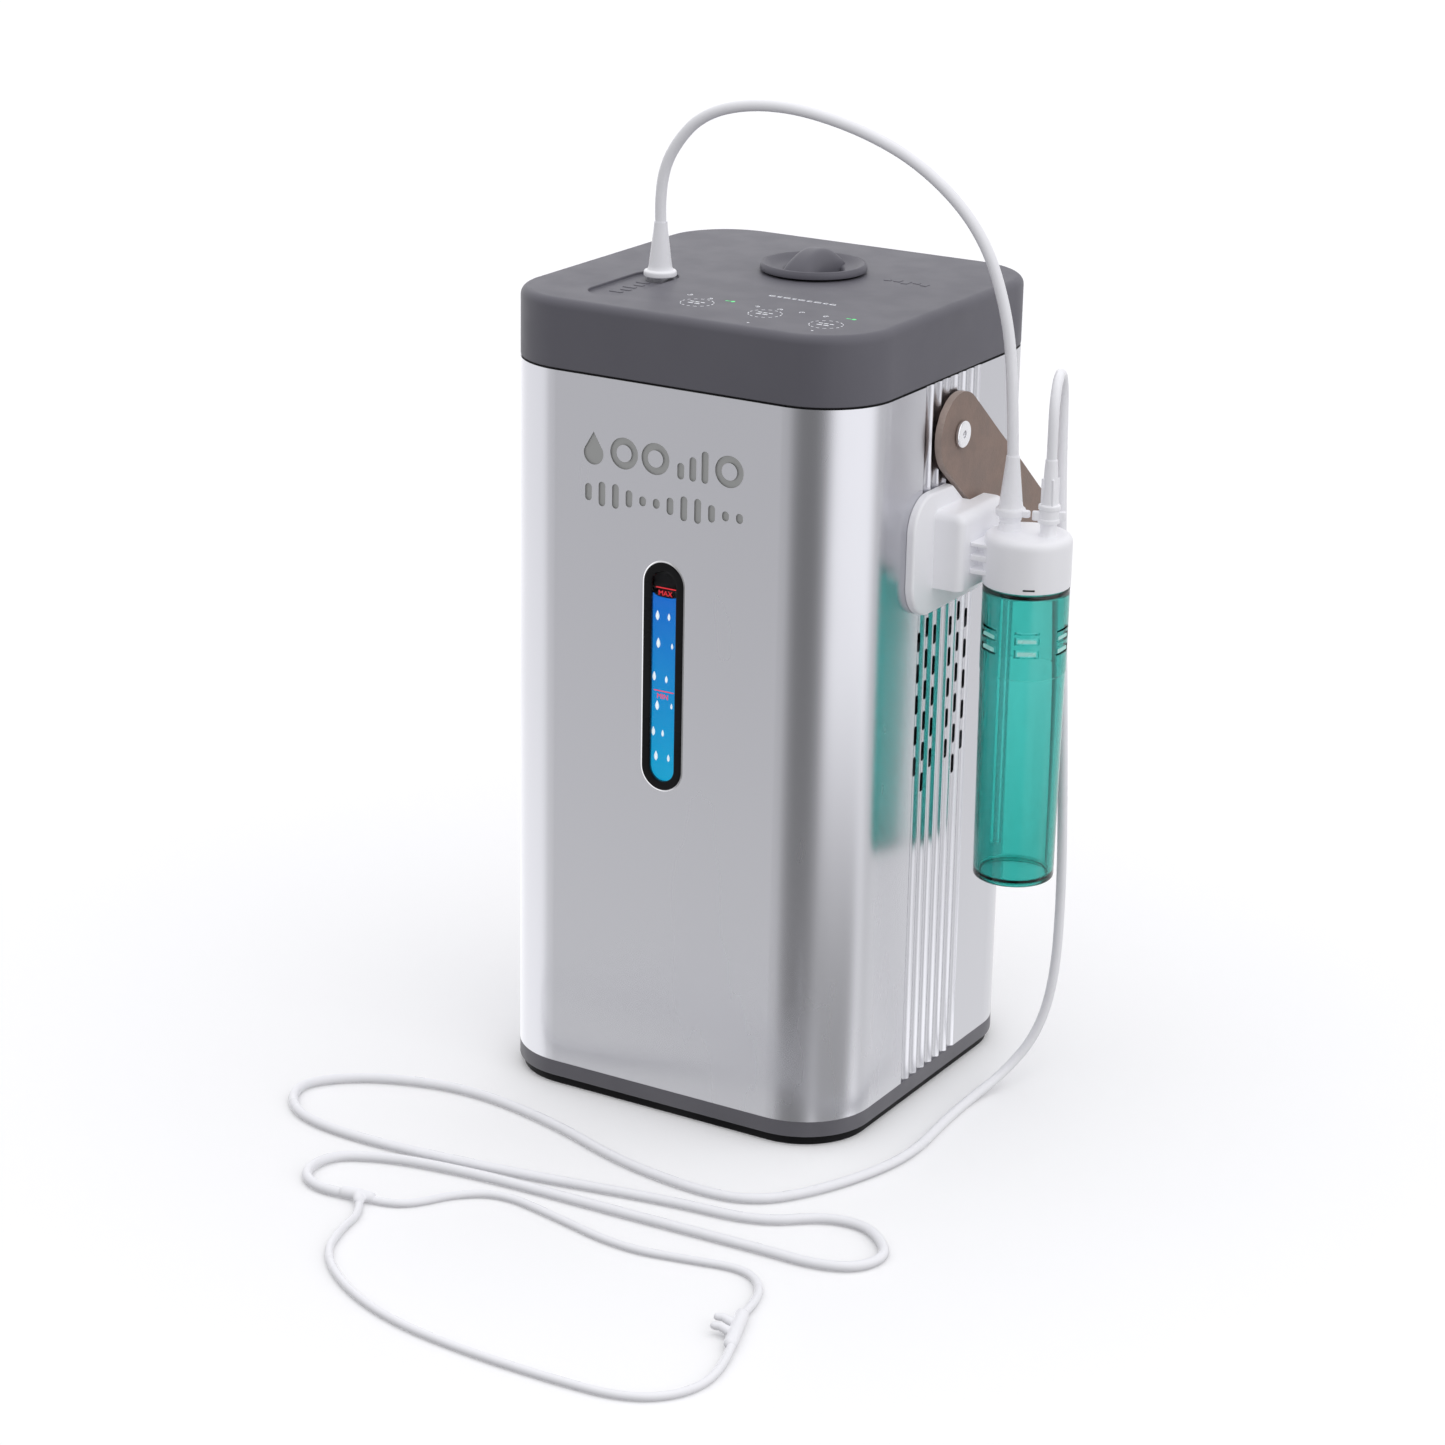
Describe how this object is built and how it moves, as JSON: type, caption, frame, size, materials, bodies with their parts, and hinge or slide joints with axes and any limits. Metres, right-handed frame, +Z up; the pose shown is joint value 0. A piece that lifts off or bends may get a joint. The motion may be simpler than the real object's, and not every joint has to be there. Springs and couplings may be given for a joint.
{
  "type": "hydrogen oxygen inhalation generator",
  "caption": "Upright square column gas generator with fluted sides, level window, grey cap, strap handle, side humidifier jar, gas tube and coiled nasal cannula.",
  "frame": {"origin": "centre of the square column on the surface it stands on", "axes": "+Z up, -Y towards the front face with the level window, +X towards the side that carries the humidifier jar"},
  "size_m": [0.3077, 0.4407, 0.4491],
  "materials": {
    "aluminium": "satin anodised",
    "grey_plastic": "satin moulded",
    "black_rubber": "matt",
    "black_plastic": "satin",
    "white_plastic": "satin moulded",
    "clear_acrylic": "clear",
    "teal_clear": "clear tinted",
    "brown_leather": "grained",
    "steel": "plated",
    "bright_steel": "bright",
    "tank_plastic": "translucent",
    "circuit_board": "lacquered",
    "soft_tube": "translucent"
  },
  "bodies": {
    "housing": {"foot_ring": "black_rubber", "base_tray": "grey_plastic", "base_screws": "steel", "sleeve": "aluminium", "seam_gasket": "black_rubber", "top_cap": "grey_plastic", "touch_board": "circuit_board", "outlet_nipple": "bright_steel", "window_bezel": "black_plastic", "window_lens": "clear_acrylic", "sight_block": "clear_acrylic", "backlight_board": "circuit_board", "chassis_shelf": "steel", "water_tank": "tank_plastic", "tank_lid": "tank_plastic", "float_stem": "steel", "filler_neck": "tank_plastic", "pivot_bush_left": "steel", "pivot_bush_right": "steel", "pivot_screw_left": "bright_steel", "pivot_screw_right": "bright_steel", "jar_bracket": "white_plastic", "bracket_screws": "steel", "jar_cap": "white_plastic", "dip_tube": "soft_tube", "cell_stack": "steel", "power_supply": "circuit_board", "water_pump": "black_plastic", "gas_separator": "tank_plastic", "resin_cartridge": "white_plastic", "control_board": "circuit_board", "fan_frame": "black_plastic", "mains_inlet": "black_plastic", "switch_frame": "black_plastic", "drain_valve": "steel", "water_hose": "soft_tube", "gas_hose": "soft_tube", "gas_tube": "soft_tube", "tube_end_top": "white_plastic", "tube_end_jar": "white_plastic", "cannula_plug": "white_plastic", "cannula_tube": "soft_tube", "branch_tube_a": "soft_tube", "branch_tube_b": "soft_tube", "y_piece": "white_plastic", "nasal_piece": "soft_tube"},
    "level_float": {"level_float": "white_plastic"},
    "filler_lift": {"filler_gasket": "black_rubber"},
    "filler_cap": {"filler_cap": "grey_plastic"},
    "strap": {"carry_strap": "brown_leather"},
    "jar_drop": {"jar_seal": "black_rubber"},
    "jar": {"jar": "teal_clear"},
    "fan_rotor": {"fan_rotor": "black_plastic"},
    "fuse_drawer": {"fuse_drawer": "black_plastic"},
    "rocker": {"rocker": "black_plastic"},
    "drain_knob": {"drain_knob": "black_plastic"}
  },
  "joints": [
    {"name": "strap_swing", "type": "hinge", "parent": "housing", "child": "strap", "pos_m": [0, 0, 0.311], "axis": [1, 0, 0], "range_deg": [0, 118]},
    {"name": "filler_lift_off", "type": "slide", "parent": "housing", "child": "filler_lift", "axis": [0, 0, 1], "range_m": [0, 0.03]},
    {"name": "filler_twist", "type": "hinge", "parent": "filler_lift", "child": "filler_cap", "pos_m": [0.006, 0.0235, 0.368], "axis": [0, 0, 1], "range_deg": [0, 90]},
    {"name": "jar_drop_off", "type": "slide", "parent": "housing", "child": "jar_drop", "axis": [0, 0, -1], "range_m": [0, 0.1]},
    {"name": "jar_twist", "type": "hinge", "parent": "jar_drop", "child": "jar", "pos_m": [0.129, 0, 0.25], "axis": [0, 0, 1], "range_deg": [0, 90]},
    {"name": "fan_spin", "type": "hinge", "parent": "housing", "child": "fan_rotor", "pos_m": [0.08, 0, 0.19], "axis": [1, 0, 0], "continuous": true},
    {"name": "float_rise", "type": "slide", "parent": "housing", "child": "level_float", "axis": [0, 0, 1], "range_m": [-0.062, 0.051]},
    {"name": "fuse_drawer_pull", "type": "slide", "parent": "housing", "child": "fuse_drawer", "axis": [0, 1, 0], "range_m": [0, 0.018]},
    {"name": "rocker_tip", "type": "hinge", "parent": "housing", "child": "rocker", "pos_m": [0.0105, 0.088, 0.0455], "axis": [1, 0, 0], "range_deg": [-16, 0]},
    {"name": "drain_turn", "type": "hinge", "parent": "housing", "child": "drain_knob", "pos_m": [0.044, 0.095, 0.032], "axis": [0, 1, 0], "range_deg": [0, 90]}
  ]
}
